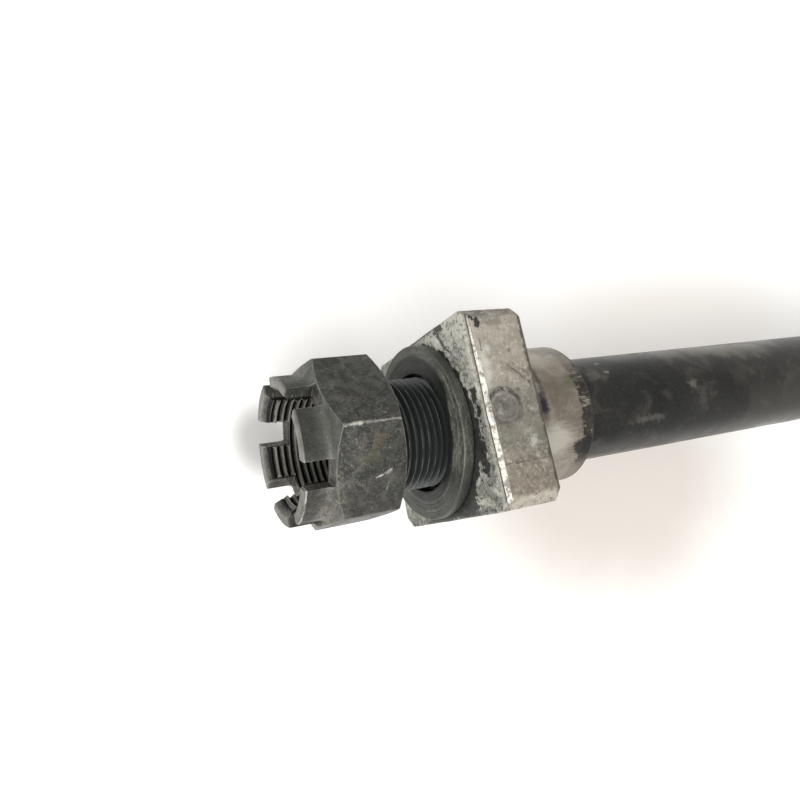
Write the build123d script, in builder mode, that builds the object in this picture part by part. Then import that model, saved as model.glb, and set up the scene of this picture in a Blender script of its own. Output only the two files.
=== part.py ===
"""Rear wheel axle of a motorcycle with the loose parts that sit on its threaded end.

A forged shaft with a flanged hexagon head carries, from its threaded tip inwards, a slotted
castle nut that is screwed on by a few turns only, a flat washer, a chain adjuster block and
a wheel spacer. Everything is on one line, the X axis. The nut is towards -X and the head
towards +X. The origin is the middle of the plain length between spacer and head, where the
wheel's bearings run. The head's flange is as wide as the adjuster block, and the block's
underside is as far from the axis as its sides are, so the axle lies level on a bench.
Lengths are millimetres.
"""

import os
from math import cos, radians, tan

from build123d import *

# Shaft and its thread
shaft_diameter = 25.0
shaft_length = 280.0  # tip of the thread to the underside of the head
thread_diameter = 24.0  # over the crests: the thread itself, of 1.5 mm pitch, isn't cut
thread_length = 22.0
tip_chamfer = 1.3
relief_width = 1.6  # the turned groove between the thread and the plain shaft
relief_depth = 1.0
shoulder_chamfer = 0.5
centre_hole_diameter = 6.0  # the lathe centres in both ends
centre_hole_angle = 60.0
split_pin_diameter = 4.5
split_pin_to_tip = 7.5

# Head of the shaft
flange_thickness = 4.0
flange_edge = 0.6
flange_root_radius = 0.8
head_across_flats = 27.0
head_height = 11.0  # above the flange
head_root_radius = 0.8

# Castle nut
nut_across_flats = 32.0
nut_height = 20.9
nut_collar_diameter = 30.2
nut_seat_diameter = 30.4
nut_slot_count = 6
nut_slot_width = 5.5
nut_collar_length = 5.45
nut_slot_depth = 5.9  # the slots run on into the cone
nut_corner_angle = 27.5  # from +Y towards +Z, to the first corner of the hexagon
nut_mouth_diameter = 26.0  # the countersink at the slotted end
nut_seat_mouth_diameter = 25.0
nut_collar_root_radius = 1.6
nut_collar_edge = 0.5
nut_grip = 4.8  # length of thread that is in the nut
hexagon_cone_angle = 30.0  # the turned cones that trim a hexagon's corners

# Washer
washer_diameter = 38.4
washer_thickness = 2.5
washer_edge = 0.3
washer_slack = 2.0  # on diameter, over the thread that it hangs on
bare_thread = 10.9  # nut to washer

# Chain adjuster block
block_width = 40.4  # across the swing arm's slot, along Y
block_thickness = 13.6
block_above_axis = 23.4  # to the face that the adjuster bolt pushes on
block_corner_chamfer = 2.3
block_worn_bevel = 1.4
block_edge = 0.7
block_bore_chamfer = 0.6
dent_diameter = 7.4  # the adjuster bolt's imprint
dent_depth = 0.15
dent_from_front = 5.2

# Wheel spacer
spacer_wall = 3.57
spacer_length = 19.0
spacer_edge = 0.3

# Clearances
thread_play = 0.05  # radial, of the nut's bore and the hanging washer on the thread
bore_play = 0.08  # radial, of the block and the spacer on the shaft
face_play = 0.1  # between the faces of neighbours in the stack

# Sizes that line up
block_below_axis = block_width / 2
flange_radius = block_width / 2

thread_radius = thread_diameter / 2
shaft_radius = shaft_diameter / 2
shaft_bore_radius = shaft_radius + bore_play
nut_bore_radius = thread_radius + thread_play
washer_bore_radius = thread_radius + washer_slack / 2
spacer_diameter = 2 * (shaft_bore_radius + spacer_wall)
cone_slope = tan(radians(hexagon_cone_angle))

# Places along X, worked out from the stack on the threaded end
washer_step = washer_thickness + face_play
block_step = block_thickness + face_play
stack_length = nut_grip + bare_thread + washer_step + block_step + spacer_length
journal_length = shaft_length - stack_length
head_seat_x = journal_length / 2
tip_x = head_seat_x - shaft_length
nut_seat_x = tip_x + nut_grip
nut_end_x = nut_seat_x - nut_height
washer_front_x = nut_seat_x + bare_thread
block_front_x = washer_front_x + washer_step
spacer_front_x = block_front_x + block_step
head_top_x = head_seat_x + flange_thickness + head_height


def corner_radius(across_flats):
    """Radius to the corners of a hexagon."""
    return across_flats / 2 / cos(radians(30))


def centre_hole(end_x, inwards):
    """The conical lathe centre in one end of the shaft, as a sketch to revolve."""
    depth = centre_hole_diameter / 2 / tan(radians(centre_hole_angle / 2))
    Polygon(
        (end_x, 0),
        (end_x, centre_hole_diameter / 2),
        (end_x + inwards * depth, 0),
        align=None,
    )


def ring(front_x, length, outer_diameter, bore_radius, edge, drop=0):
    """A turned ring along X with its four edges broken, its middle below the X axis by the drop."""
    with BuildPart() as turned:
        with BuildSketch(Plane.YZ.offset(front_x)):
            with Locations((0, -drop)):
                Circle(outer_diameter / 2)
                Circle(bore_radius, mode=Mode.SUBTRACT)
        extrude(amount=length)
        chamfer(turned.edges().filter_by(GeomType.CIRCLE), edge)
    return turned.part


# Shaft: one forging, turned from the tip to the flange, with a hexagon on the flange
thread_end_x = tip_x + thread_length
shoulder_x = thread_end_x + relief_width
relief_radius = thread_radius - relief_depth
flange_outer_x = head_seat_x + flange_thickness
head_corner_radius = corner_radius(head_across_flats)

with BuildPart() as axle_shaft:
    with BuildSketch(Plane.XZ):
        Polygon(
            (tip_x, 0),
            (tip_x, thread_radius - tip_chamfer),
            (tip_x + tip_chamfer, thread_radius),
            (thread_end_x, thread_radius),
            (thread_end_x + relief_depth, relief_radius),
            (shoulder_x, relief_radius),
            (shoulder_x, shaft_radius - shoulder_chamfer),
            (shoulder_x + shoulder_chamfer, shaft_radius),
            (head_seat_x, shaft_radius),
            (head_seat_x, flange_radius - flange_edge),
            (head_seat_x + flange_edge, flange_radius),
            (flange_outer_x - flange_edge, flange_radius),
            (flange_outer_x, flange_radius - flange_edge),
            (flange_outer_x, 0),
            align=None,
        )
    revolve(axis=Axis.X)
    seat_root = (
        axle_shaft.edges()
        .filter_by(GeomType.CIRCLE)
        .filter_by_position(Axis.X, head_seat_x, head_seat_x)
        .sort_by(SortBy.RADIUS)[0]
    )
    fillet(seat_root, flange_root_radius)

    # Hexagon, its outer corners trimmed by a cone
    with BuildPart(mode=Mode.PRIVATE) as hexagon:
        with BuildSketch(Plane.YZ.offset(flange_outer_x)):
            RegularPolygon(head_corner_radius, 6)
        extrude(amount=head_height)
        with BuildSketch(Plane.XZ):
            trim_radius = head_across_flats / 2 * 0.96
            trim_length = cone_slope * (head_corner_radius - trim_radius)
            Polygon(
                (flange_outer_x, 0),
                (flange_outer_x, head_corner_radius),
                (head_top_x - trim_length, head_corner_radius),
                (head_top_x, trim_radius),
                (head_top_x, 0),
                align=None,
            )
        revolve(axis=Axis.X, mode=Mode.INTERSECT)
    add(hexagon.part)
    fillet(
        axle_shaft.edges().filter_by_position(Axis.X, flange_outer_x, flange_outer_x)
        .filter_by(GeomType.LINE),
        head_root_radius,
    )

    # Lathe centres in both ends
    with BuildSketch(Plane.XZ):
        centre_hole(tip_x, 1)
        centre_hole(head_top_x, -1)
    revolve(axis=Axis.X, mode=Mode.SUBTRACT)

    # Cross hole for the split pin that locks the nut
    with BuildSketch(Plane.XZ):
        with Locations((tip_x + split_pin_to_tip, 0)):
            Circle(split_pin_diameter / 2)
    extrude(amount=shaft_radius, both=True, mode=Mode.SUBTRACT)

axle_shaft.part.label = "axle_shaft"


# Castle nut: hexagon between two turned cones, and a slotted collar
nut_corner_radius = corner_radius(nut_across_flats)
collar_radius = nut_collar_diameter / 2
nut_seat_radius = nut_seat_diameter / 2
collar_root_x = nut_end_x + nut_collar_length
slot_angle = nut_corner_angle + 180 / nut_slot_count

with BuildPart() as castle_nut:
    with BuildSketch(Plane.YZ.offset(collar_root_x)):
        RegularPolygon(nut_corner_radius, 6, rotation=nut_corner_angle)
    extrude(amount=nut_seat_x - collar_root_x)
    with BuildSketch(Plane.XZ):
        Polygon(
            (collar_root_x, 0),
            (collar_root_x, collar_radius),
            (collar_root_x + cone_slope * (nut_corner_radius - collar_radius), nut_corner_radius),
            (nut_seat_x - cone_slope * (nut_corner_radius - nut_seat_radius), nut_corner_radius),
            (nut_seat_x, nut_seat_radius),
            (nut_seat_x, 0),
            align=None,
        )
    revolve(axis=Axis.X, mode=Mode.INTERSECT)

    # Collar
    with BuildSketch(Plane.YZ.offset(nut_end_x)):
        Circle(collar_radius)
    extrude(amount=nut_collar_length)
    collar_edges = castle_nut.edges().filter_by(GeomType.CIRCLE)
    fillet(
        collar_edges.filter_by_position(Axis.X, collar_root_x, collar_root_x),
        nut_collar_root_radius,
    )
    chamfer(
        castle_nut.edges()
        .filter_by(GeomType.CIRCLE)
        .filter_by_position(Axis.X, nut_end_x, nut_end_x),
        nut_collar_edge,
    )

    # Bore, countersunk at both mouths
    mouth_radius = nut_mouth_diameter / 2
    seat_mouth_radius = nut_seat_mouth_diameter / 2
    with BuildSketch(Plane.XZ):
        Polygon(
            (nut_end_x, 0),
            (nut_end_x, mouth_radius),
            (nut_end_x + mouth_radius - nut_bore_radius, nut_bore_radius),
            (nut_seat_x - seat_mouth_radius + nut_bore_radius, nut_bore_radius),
            (nut_seat_x, seat_mouth_radius),
            (nut_seat_x, 0),
            align=None,
        )
    revolve(axis=Axis.X, mode=Mode.SUBTRACT)

    # Slots, one over the middle of each flat
    with BuildSketch(Plane.YZ.offset(nut_end_x)):
        with PolarLocations(collar_radius, nut_slot_count, start_angle=slot_angle):
            Rectangle(collar_radius, nut_slot_width)
    extrude(amount=nut_slot_depth, mode=Mode.SUBTRACT)

castle_nut.part.label = "castle_nut"


# Washer: it lies against the block and hangs on the thread by the top of its bore
washer_drop = washer_bore_radius - thread_radius - thread_play
washer = ring(
    washer_front_x, washer_thickness, washer_diameter, washer_bore_radius, washer_edge,
    washer_drop,
)
washer.label = "washer"


# Chain adjuster block: a thick plate that runs in the swing arm's slot
block_height = block_above_axis + block_below_axis
block_middle_z = (block_above_axis - block_below_axis) / 2

with BuildPart() as adjuster_block:
    with BuildSketch(Plane.YZ.offset(block_front_x)) as outline:
        with Locations((0, block_middle_z)):
            Rectangle(block_width, block_height)
        chamfer(outline.vertices(), block_corner_chamfer)
    extrude(amount=block_thickness)

    # Bevel worn into the front edge of the pushed face, then the other edges broken
    front = adjuster_block.faces().sort_by(Axis.X)[0]
    chamfer(front.edges().sort_by(Axis.Z)[-1], block_worn_bevel)
    back = adjuster_block.faces().sort_by(Axis.X)[-1]
    chamfer(back.edges(), block_edge)

    # Bore for the shaft
    with BuildSketch(Plane.YZ.offset(block_front_x)):
        Circle(shaft_bore_radius)
    extrude(amount=block_thickness, mode=Mode.SUBTRACT)
    bore_edges = adjuster_block.edges().filter_by(GeomType.CIRCLE)
    chamfer(bore_edges, block_bore_chamfer)

    # Imprint of the adjuster bolt in the pushed face
    with BuildSketch(Plane.XY.offset(block_above_axis)):
        with Locations((block_front_x + dent_from_front, 0)):
            Circle(dent_diameter / 2)
    extrude(amount=-dent_depth, mode=Mode.SUBTRACT)

adjuster_block.part.label = "adjuster_block"


# Wheel spacer, between the block and the wheel's bearing
wheel_spacer = ring(
    spacer_front_x, spacer_length, spacer_diameter, shaft_bore_radius, spacer_edge
)
wheel_spacer.label = "wheel_spacer"


os.makedirs("parts", exist_ok=True)
export_step(axle_shaft.part, "parts/axle_shaft.step")
export_step(castle_nut.part, "parts/castle_nut.step")
export_step(washer, "parts/washer.step")
export_step(adjuster_block.part, "parts/adjuster_block.step")
export_step(wheel_spacer, "parts/wheel_spacer.step")
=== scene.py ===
"""Finish of a used motorcycle rear wheel axle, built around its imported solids.

Each solid gets a finer piece that replaces it: the shaft with its cut thread, the castle
nut with its own thread and slots, the washer with its turned face, the cast adjuster block
with its dents, and the wheel spacer. Lengths in this script are millimetres in the frame's
axes, and each piece is scaled to metres when it is done.
"""

from math import cos, hypot, radians, sin, tan, tau

import bmesh
import bpy
from mathutils import Matrix, Vector, noise


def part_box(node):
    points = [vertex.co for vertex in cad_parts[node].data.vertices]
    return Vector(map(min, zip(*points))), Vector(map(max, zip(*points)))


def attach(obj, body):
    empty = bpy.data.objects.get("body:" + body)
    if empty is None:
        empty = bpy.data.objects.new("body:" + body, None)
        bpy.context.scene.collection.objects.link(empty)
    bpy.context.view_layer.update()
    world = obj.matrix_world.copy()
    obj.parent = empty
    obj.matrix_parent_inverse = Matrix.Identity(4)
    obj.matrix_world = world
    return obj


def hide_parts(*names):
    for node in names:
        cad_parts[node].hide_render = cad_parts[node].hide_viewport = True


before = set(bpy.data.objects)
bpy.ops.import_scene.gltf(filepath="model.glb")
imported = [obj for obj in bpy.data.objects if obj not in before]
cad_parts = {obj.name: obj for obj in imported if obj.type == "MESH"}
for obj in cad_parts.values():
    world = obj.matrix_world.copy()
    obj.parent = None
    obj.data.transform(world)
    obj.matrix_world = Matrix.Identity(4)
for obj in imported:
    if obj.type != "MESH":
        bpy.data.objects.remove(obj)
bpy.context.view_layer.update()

MM = 0.001  # metres in a millimetre


def box_mm(node):
    """The lowest and highest corner of a solid, in millimetres."""
    low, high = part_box(node)
    return low / MM, high / MM


# Places along the axle, read from the solids
shaft_low, shaft_high = box_mm("axle_shaft")
nut_low, nut_high = box_mm("castle_nut")
washer_low, washer_high = box_mm("washer")
block_low, block_high = box_mm("adjuster_block")
spacer_low, spacer_high = box_mm("wheel_spacer")

tip_x = shaft_low.x
nut_end_x = nut_low.x
nut_seat_x = nut_high.x
bench_z = min(shaft_low.z, block_low.z)

# Thread, cut in the shaft and in the nut
thread_pitch = 1.5
thread_radius = 12.0
thread_root_radius = 11.1
thread_length = 22.0
thread_flank = tan(radians(30))
thread_steps = 96  # around one turn
shaft_crest_from_tip = 0.535  # of the first crest, at +Y
shaft_groove_excess = 0.15  # by which the groove's cutter stands out of the bar
thread_run_out = 0.4  # between the last groove and the relief
thread_lead_out = 0.9  # by which the last groove leaves the bar
nut_bore_radius = 12.05
nut_crest_radius = 11.2
nut_groove_excess = 0.2  # by which the groove's cutter stands into the bore
nut_crest_from_end = -0.025  # of the first crest, at +Y
nut_thread_past_tip = 0.5  # what the nut's thread leaves free before the shaft's tip

# Shaft
shaft_radius = 12.5
tip_chamfer = 1.3
relief_width = 1.6
relief_depth = 1.0
shoulder_chamfer = 0.5
flange_radius = shaft_high.y
flange_thickness = 4.0
head_height = 11.0
head_across_flats = 27.0
head_flat_share = 0.96  # of the head's width that its cone leaves flat
head_seat_x = shaft_high.x - head_height - flange_thickness
lathe_centre_radius = 3.0
split_pin_radius = 2.25
split_pin_to_tip = 7.5

# Castle nut
nut_across_flats = 32.0
nut_corner_angle = radians(27.5)
nut_collar_radius = 15.1
nut_seat_radius = 15.2
nut_slot_width = 5.5
nut_collar_length = 5.45
nut_slot_depth = 5.9
nut_mouth_radius = 13.2
nut_mouth_depth = 2.35
nut_seat_mouth_radius = 12.5
nut_edge_ease = 0.45
nut_root_fillet = 1.0
nut_edge_bevel = 0.15
hexagon_cone_slope = tan(radians(30))

# Washer, block and spacer
washer_radius = (washer_high.y - washer_low.y) / 2
washer_z = (washer_high.z + washer_low.z) / 2
washer_bore_radius = 13.0
washer_track_start = 14.6  # radius of the shallow track worn into its front
washer_track_end = 16.8
washer_track_depth = 0.05
ring_bore_radius = 12.58
spacer_radius = spacer_high.y
block_mesh_step = 0.3
skin_grain = 0.03  # height of the cast skin's fine lumps
skin_waves = 0.05  # and of its broad ones
skin_loss = 0.06  # of the uneven skin, so that no bump of it stands proud
dent_from_front = 4.8  # the adjuster bolt's imprint
dent_y = -0.6
dent_radius = 3.6
dent_depth = 0.07
dent_ring_depth = 0.04


def corner_radius(across_flats):
    """Radius to the corners of a hexagon."""
    return across_flats / 2 / cos(radians(30))


# Meshes

def new_piece(name, verts, faces):
    """A mesh object of points in millimetres, its faces turned outwards."""
    mesh = bpy.data.meshes.new(name)
    shape = bmesh.new()
    points = [shape.verts.new(v) for v in verts]
    for face in faces:
        shape.faces.new([points[i] for i in face])
    bmesh.ops.recalc_face_normals(shape, faces=shape.faces)
    shape.to_mesh(mesh)
    shape.free()
    piece = bpy.data.objects.new(name, mesh)
    bpy.context.scene.collection.objects.link(piece)
    return piece


def apply_modifiers(piece):
    """Makes the mesh what its modifiers show."""
    evaluated = piece.evaluated_get(bpy.context.evaluated_depsgraph_get())
    mesh = bpy.data.meshes.new_from_object(evaluated)
    piece.modifiers.clear()
    piece.data = mesh


def combine(piece, other, operation):
    """Joins a piece with another, cuts the other from it or keeps what they share."""
    change = piece.modifiers.new("combine", "BOOLEAN")
    change.operation = operation
    change.solver = "EXACT"
    change.object = other
    apply_modifiers(piece)
    bpy.data.objects.remove(other)


def eased(corners, steps=4):
    """A closed outline with rounded corners. Each is (x, y, how far it is cut back)."""
    outline = []
    for i, (x, y, cut) in enumerate(corners):
        here = Vector((x, y))
        if not cut:
            outline.append(here)
            continue
        before = Vector(corners[i - 1][:2]) - here
        after = Vector(corners[(i + 1) % len(corners)][:2]) - here
        start = here + before.normalized() * cut
        end = here + after.normalized() * cut
        for step in range(steps + 1):
            t = step / steps
            outline.append(start * (1 - t) ** 2 + here * 2 * t * (1 - t) + end * t**2)
    return outline


def lathe(name, outline, steps=128, middle_z=0.0):
    """Turns a closed outline of (x, radius) points around the X axis, or one beside it."""
    verts = []
    rings = []
    for x, radius in outline:
        if radius < 1e-6:
            verts.append((x, 0.0, middle_z))
            rings.append([len(verts) - 1] * steps)
            continue
        first = len(verts)
        for step in range(steps):
            angle = tau * step / steps
            verts.append((x, radius * cos(angle), middle_z + radius * sin(angle)))
        rings.append(list(range(first, first + steps)))
    faces = []
    for i, ring in enumerate(rings):
        other = rings[(i + 1) % len(rings)]
        for step in range(steps):
            after = (step + 1) % steps
            face = [ring[step], ring[after], other[after], other[step]]
            corners = [v for k, v in enumerate(face) if v != face[k - 1]]
            if len(corners) > 2:
                faces.append(corners)
    return new_piece(name, verts, faces)


def bar_faces(count):
    """The faces of a bar between two outlines of so many points: its ends, then its sides."""
    faces = [list(range(count)), list(range(count, 2 * count))]
    for i in range(count):
        after = (i + 1) % count
        faces.append([i, after, count + after, count + i])
    return faces


def prism(name, outline, start_x, end_x):
    """A bar along X whose section is a closed outline of (y, z) points."""
    verts = [(x, y, z) for x in (start_x, end_x) for y, z in outline]
    return new_piece(name, verts, bar_faces(len(outline)))


def hexagon(across_flats, first_corner, ease):
    """The outline of a hexagonal bar with its corners rounded."""
    radius = corner_radius(across_flats)
    angles = [first_corner + radians(60) * i for i in range(6)]
    return eased([(radius * cos(a), radius * sin(a), ease) for a in angles], steps=3)


def coil(name, start_x, end_x, section, lead_out=0.0):
    """A helical bar that cuts one thread groove. Its section is (offset in X, radius) points.

    With a lead out, the last turn moves away from the axis by that much, as a die does.
    """
    count = int((end_x - start_x) / thread_pitch * thread_steps)
    size = len(section)
    verts = []
    for i in range(count + 1):
        angle = tau * i / thread_steps
        x = start_x + thread_pitch * i / thread_steps
        lift = lead_out * max(0.0, 1 - (count - i) / thread_steps)
        for offset, radius in section:
            r = radius + lift
            verts.append((x + offset, r * cos(angle), r * sin(angle)))
    faces = [list(range(size)), list(range(count * size, (count + 1) * size))]
    for i in range(count):
        for k in range(size):
            after = (k + 1) % size
            faces.append([i * size + k, i * size + after,
                          (i + 1) * size + after, (i + 1) * size + k])
    return new_piece(name, verts, faces)


def soften(piece, sharp_angle=35):
    """Smooth shading, broken at edges sharper than the angle."""
    piece.data.shade_smooth()
    piece.data.set_sharp_from_angle(angle=radians(sharp_angle))


def merge_points(piece, distance=0.002):
    """Joins points that lie together, and drops faces without area."""
    shape = bmesh.new()
    shape.from_mesh(piece.data)
    bmesh.ops.remove_doubles(shape, verts=shape.verts, dist=distance)
    bmesh.ops.dissolve_degenerate(shape, edges=shape.edges, dist=distance)
    shape.to_mesh(piece.data)
    shape.free()


def done(piece, body, node, material):
    """Scales a piece to metres, gives it its finish and lets it ride on its body."""
    piece.data.transform(Matrix.Scale(MM, 4))
    piece.data.materials.clear()
    piece.data.materials.append(material)
    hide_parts(node)
    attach(piece, body)
    return piece


def make_shaft():
    """The shaft: turned from tip to flange, with a hexagon, a cut thread and a pin hole."""
    thread_end_x = tip_x + thread_length
    shoulder_x = thread_end_x + relief_width
    centre_depth = lathe_centre_radius / tan(radians(30))
    flange_outer_x = head_seat_x + flange_thickness
    turned = eased([
        (tip_x + centre_depth, 0, 0),
        (tip_x, lathe_centre_radius, 0.2),
        (tip_x, thread_radius - tip_chamfer, 0.2),
        (tip_x + tip_chamfer, thread_radius, 0.1),
        (thread_end_x, thread_radius, 0.1),
        (thread_end_x + relief_depth / 2, thread_radius - relief_depth, 0.2),
        (shoulder_x, thread_radius - relief_depth, 0.3),
        (shoulder_x, shaft_radius - shoulder_chamfer, 0.15),
        (shoulder_x + shoulder_chamfer, shaft_radius, 0.15),
        (head_seat_x, shaft_radius, 0.8),
        (head_seat_x, flange_radius, 0.6),
        (flange_outer_x, flange_radius, 0.8),
        (flange_outer_x, 0, 0),
    ])
    shaft = lathe("shaft", turned)
    past_corner = corner_radius(head_across_flats) + 2
    trim = head_across_flats / 2 * head_flat_share
    top_x = flange_outer_x + head_height
    head = prism("head", hexagon(head_across_flats, 0.0, 0.5), flange_outer_x - 1, top_x)
    cone = lathe("cone", eased([
        (flange_outer_x - 2, 0, 0),
        (flange_outer_x - 2, past_corner, 0),
        (top_x - hexagon_cone_slope * (past_corner - trim), past_corner, 0),
        (top_x, trim, 0.3),
        (top_x, lathe_centre_radius, 0.2),
        (top_x - centre_depth, 0, 0),
    ]))
    combine(head, cone, "INTERSECT")
    combine(shaft, head, "UNION")

    # Thread groove
    beyond_radius = thread_radius + shaft_groove_excess
    root_half = thread_pitch / 8
    top_half = root_half + thread_flank * (beyond_radius - thread_root_radius)
    section = [(-root_half, thread_root_radius), (root_half, thread_root_radius),
               (top_half, beyond_radius), (-top_half, beyond_radius)]
    start_x = tip_x + shaft_crest_from_tip - 1.5 * thread_pitch
    groove = coil("groove", start_x, thread_end_x - thread_run_out, section, thread_lead_out)
    combine(shaft, groove, "DIFFERENCE")

    # Hole for the split pin, along Y
    reach = 15
    pin = lathe("pin", [(-reach, 0), (-reach, split_pin_radius),
                        (reach, split_pin_radius), (reach, 0)], 32)
    pin.data.transform(Matrix.Rotation(radians(90), 4, "Z"))
    pin.data.transform(Matrix.Translation((tip_x + split_pin_to_tip, 0, 0)))
    combine(shaft, pin, "DIFFERENCE")
    merge_points(shaft)
    soften(shaft)
    return shaft


def make_nut():
    """The castle nut: a hexagon trimmed by two cones, a slotted collar, and a thread inside."""
    collar_root_x = nut_end_x + nut_collar_length
    past_corner = corner_radius(nut_across_flats) + 2
    nut = prism("nut", hexagon(nut_across_flats, nut_corner_angle, nut_edge_ease),
                nut_end_x - 1, nut_seat_x + 1)
    turned = lathe("turned", eased([
        (nut_end_x, 0, 0),
        (nut_end_x, nut_collar_radius, nut_edge_ease),
        (collar_root_x, nut_collar_radius, nut_root_fillet),
        (collar_root_x + hexagon_cone_slope * (past_corner - nut_collar_radius), past_corner, 0),
        (nut_seat_x - hexagon_cone_slope * (past_corner - nut_seat_radius), past_corner, 0),
        (nut_seat_x, nut_seat_radius, 0.3),
        (nut_seat_x, 0, 0),
    ]), steps=144)
    combine(nut, turned, "INTERSECT")

    # Slots, each through two sides of the collar
    half = nut_slot_width / 2
    bottom_x = nut_end_x + nut_slot_depth
    box = eased([(nut_end_x - 2, -half, 0), (nut_end_x - 2, half, 0),
                 (bottom_x, half, 0.3), (bottom_x, -half, 0.3)])
    verts = [(p.x, side * past_corner, p.y) for side in (-1, 1) for p in box]
    for i in range(3):
        slot = new_piece("slot", verts, bar_faces(len(box)))
        slot.data.transform(Matrix.Rotation(nut_corner_angle + radians(30 + 60 * i), 4, "X"))
        combine(nut, slot, "DIFFERENCE")
    merge_points(nut)
    edges = nut.modifiers.new("edges", "BEVEL")
    edges.width = nut_edge_bevel
    edges.segments = 2
    edges.limit_method = "ANGLE"
    edges.angle_limit = radians(50)
    apply_modifiers(nut)

    # Bore: to the thread's crests where it can be seen into, then wide enough for the shaft
    crest_end_x = tip_x - nut_thread_past_tip
    bore = lathe("bore", [
        (nut_end_x - 1, 0),
        (nut_end_x - 1, nut_mouth_radius + (nut_mouth_radius - nut_crest_radius) / nut_mouth_depth),
        (nut_end_x + nut_mouth_depth, nut_crest_radius),
        (crest_end_x, nut_crest_radius),
        (crest_end_x, nut_bore_radius),
        (nut_seat_x - nut_seat_mouth_radius + nut_bore_radius, nut_bore_radius),
        (nut_seat_x + 1, nut_seat_mouth_radius + 1),
        (nut_seat_x + 1, 0),
    ])
    combine(nut, bore, "DIFFERENCE")
    inner_radius = nut_crest_radius - nut_groove_excess
    root_half = thread_pitch / 16
    mouth_half = root_half + thread_flank * (nut_bore_radius - inner_radius)
    section = [(-mouth_half, inner_radius), (mouth_half, inner_radius),
               (root_half, nut_bore_radius), (-root_half, nut_bore_radius)]
    start_x = nut_end_x + nut_crest_from_end - 0.5 * thread_pitch
    combine(nut, coil("nut_groove", start_x, crest_end_x, section), "DIFFERENCE")
    merge_points(nut)
    soften(nut)
    return nut


def make_ring(name, corners, middle_z=0.0):
    """A turned ring of eased corners."""
    ring = lathe(name, eased(corners), 160, middle_z)
    soften(ring)
    return ring


def make_washer():
    """The washer: a turned ring with a shallow track worn into its front."""
    front_x, back_x = washer_low.x, washer_high.x
    track_x = front_x + washer_track_depth
    return make_ring("washer_ring", [
        (front_x, washer_bore_radius, 0.35),
        (front_x, washer_track_start, 0.2),
        (track_x, washer_track_start + 0.3, 0.2),
        (track_x, washer_track_end - 0.4, 0.2),
        (front_x, washer_track_end, 0.2),
        (front_x, washer_radius, 0.45),
        (back_x, washer_radius, 0.45),
        (back_x, washer_bore_radius, 0.35),
    ], washer_z)


def make_spacer():
    """The wheel spacer: a plain tube with eased ends."""
    front_x, back_x = spacer_low.x, spacer_high.x
    return make_ring("spacer_tube", [
        (front_x, ring_bore_radius, 0.4),
        (front_x, spacer_radius, 0.35),
        (back_x, spacer_radius, 0.35),
        (back_x, ring_bore_radius, 0.4),
    ])


def make_block():
    """The adjuster block: the cast solid with soft edges, an uneven skin and its dents."""
    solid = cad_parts["adjuster_block"].data.copy()
    block = bpy.data.objects.new("cast_block", solid)
    bpy.context.scene.collection.objects.link(block)
    block.data.transform(Matrix.Scale(1 / MM, 4))
    merge_points(block)
    skin = block.modifiers.new("skin", "REMESH")
    skin.mode = "VOXEL"
    skin.voxel_size = block_mesh_step
    apply_modifiers(block)
    skin = [(vertex.co.copy(), vertex.normal.copy()) for vertex in block.data.vertices]
    for vertex, (place, outwards) in zip(block.data.vertices, skin):
        if hypot(place.y, place.z) < ring_bore_radius + 0.6:
            continue  # the bore stays round
        rough = noise.fractal(place * 0.9, 0.8, 2.0, 3) * skin_grain
        waves = noise.noise(place * 0.16) * skin_waves
        dent = hypot(place.x - block_low.x - dent_from_front, place.y - dent_y)
        if dent < dent_radius + 1.2 and place.z > block_high.z - 1:
            dent += noise.noise(place * 0.6) * 0.6
            bowl = max(0.0, min(1.0, (dent_radius + 0.3 - dent) / 0.7))
            ring = max(0.0, 1 - abs(dent - dent_radius * 0.68) / 0.6)
            bowl = bowl * bowl * (3 - 2 * bowl)
            place.z = block_high.z - dent_depth * bowl - dent_ring_depth * ring
        vertex.co = place + outwards * (rough + waves - skin_loss)
    block.data.shade_smooth()
    return block


# Nodes

def srgb(red, green, blue):
    """A colour written as 0 to 255, as the shader takes it."""
    shares = [c / 255 for c in (red, green, blue)]
    return tuple(s / 12.92 if s < 0.04045 else ((s + 0.055) / 1.055) ** 2.4
                 for s in shares) + (1.0,)


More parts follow.
